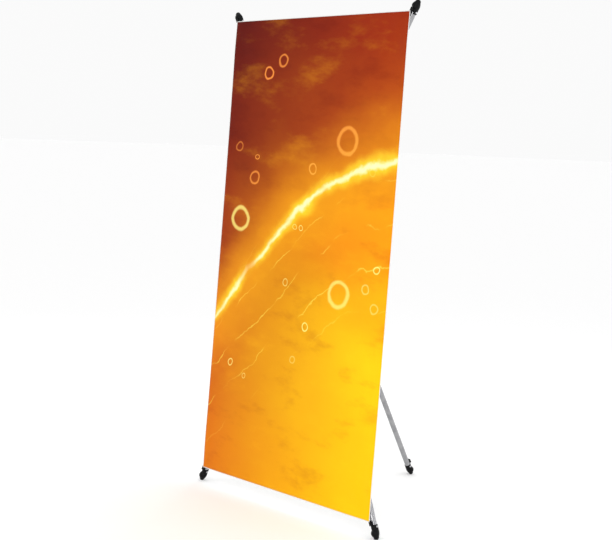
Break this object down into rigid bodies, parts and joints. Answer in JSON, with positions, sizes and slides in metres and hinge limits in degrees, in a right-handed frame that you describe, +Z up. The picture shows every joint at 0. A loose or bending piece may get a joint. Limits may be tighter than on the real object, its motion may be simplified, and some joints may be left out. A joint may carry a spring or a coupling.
{
  "type": "tripod x-banner stand",
  "caption": "Folding tripod X-frame stand that holds an upright printed banner by its corners on hooked limb ends.",
  "frame": {"origin": "on the floor, in the middle of the stand's bounding box", "axes": "+Z up, +X to the right of someone facing the banner, +Y from the banner's face towards the rear leg"},
  "size_m": [0.8558, 0.696, 1.6857],
  "materials": {
    "printed_vinyl": "satin printed vinyl",
    "polished_tube": "polished",
    "black_plastic": "satin moulded",
    "hub_plastic": "satin moulded",
    "steel_pin": "zinc plated",
    "steel_ring": "nickel plated",
    "webbing": "woven nylon"
  },
  "bodies": {
    "hub": {"hub_core": "hub_plastic", "hub_front_plate": "hub_plastic", "hub_rear_plate": "hub_plastic", "hub_screws": "steel_pin", "hub_nuts": "steel_pin", "leg_pivot_pins": "steel_pin", "arm_pivot_pins": "steel_pin", "rear_leg_pivot_pin": "steel_pin"},
    "left_leg": {"left_leg_tube": "polished_tube", "left_leg_knuckle": "hub_plastic", "left_leg_foot": "black_plastic", "left_leg_rivets": "steel_pin"},
    "right_leg": {"right_leg_tube": "polished_tube", "right_leg_knuckle": "hub_plastic", "right_leg_foot": "black_plastic", "right_leg_rivets": "steel_pin"},
    "left_arm": {"left_arm_tube": "polished_tube", "left_arm_knuckle": "hub_plastic", "left_arm_end_hook": "black_plastic", "left_arm_rivets": "steel_pin"},
    "right_arm": {"right_arm_tube": "polished_tube", "right_arm_knuckle": "hub_plastic", "right_arm_end_hook": "black_plastic", "right_arm_rivets": "steel_pin"},
    "rear_leg": {"rear_leg_tube": "polished_tube", "rear_leg_knuckle": "hub_plastic", "rear_leg_foot": "black_plastic", "rear_leg_rivets": "steel_pin"},
    "banner": {"banner_sheet": "printed_vinyl", "top_left_ring": "steel_ring", "top_right_ring": "steel_ring", "bottom_left_ring": "steel_ring", "bottom_right_ring": "steel_ring", "top_left_tab": "webbing", "top_right_tab": "webbing", "bottom_left_tab": "webbing", "bottom_right_tab": "webbing"}
  },
  "joints": [
    {"name": "left_leg_fold", "type": "hinge", "parent": "hub", "child": "left_leg", "pos_m": [-0.0165, -0.27846, 0.95653], "axis": [0, -0.9984, 0.0558], "range_deg": [0, 22.94], "deforming": ["bottom_left_ring", "bottom_left_tab"]},
    {"name": "right_leg_fold", "type": "hinge", "parent": "hub", "child": "right_leg", "pos_m": [0.0165, -0.27846, 0.95653], "axis": [0, 0.9984, -0.0558], "range_deg": [0, 22.94], "deforming": ["bottom_right_ring", "bottom_right_tab"]},
    {"name": "left_arm_fold", "type": "hinge", "parent": "hub", "child": "left_arm", "pos_m": [-0.0395, -0.25592, 0.99132], "axis": [0, -0.9997, 0.0246], "range_deg": [0, 151.29], "deforming": ["top_left_ring", "top_left_tab"]},
    {"name": "right_arm_fold", "type": "hinge", "parent": "hub", "child": "right_arm", "pos_m": [0.0395, -0.25592, 0.99132], "axis": [0, 0.9997, -0.0246], "range_deg": [0, 151.29], "deforming": ["top_right_ring", "top_right_tab"]},
    {"name": "rear_leg_fold", "type": "hinge", "parent": "hub", "child": "rear_leg", "pos_m": [0, -0.23127, 0.97671], "axis": [-1, 0, 0], "range_deg": [0, 31.78]},
    {"name": "banner_off", "type": "slide", "parent": "hub", "child": "banner", "axis": [0, -0.9984, 0.0558], "range_m": [0, 0.3]}
  ]
}
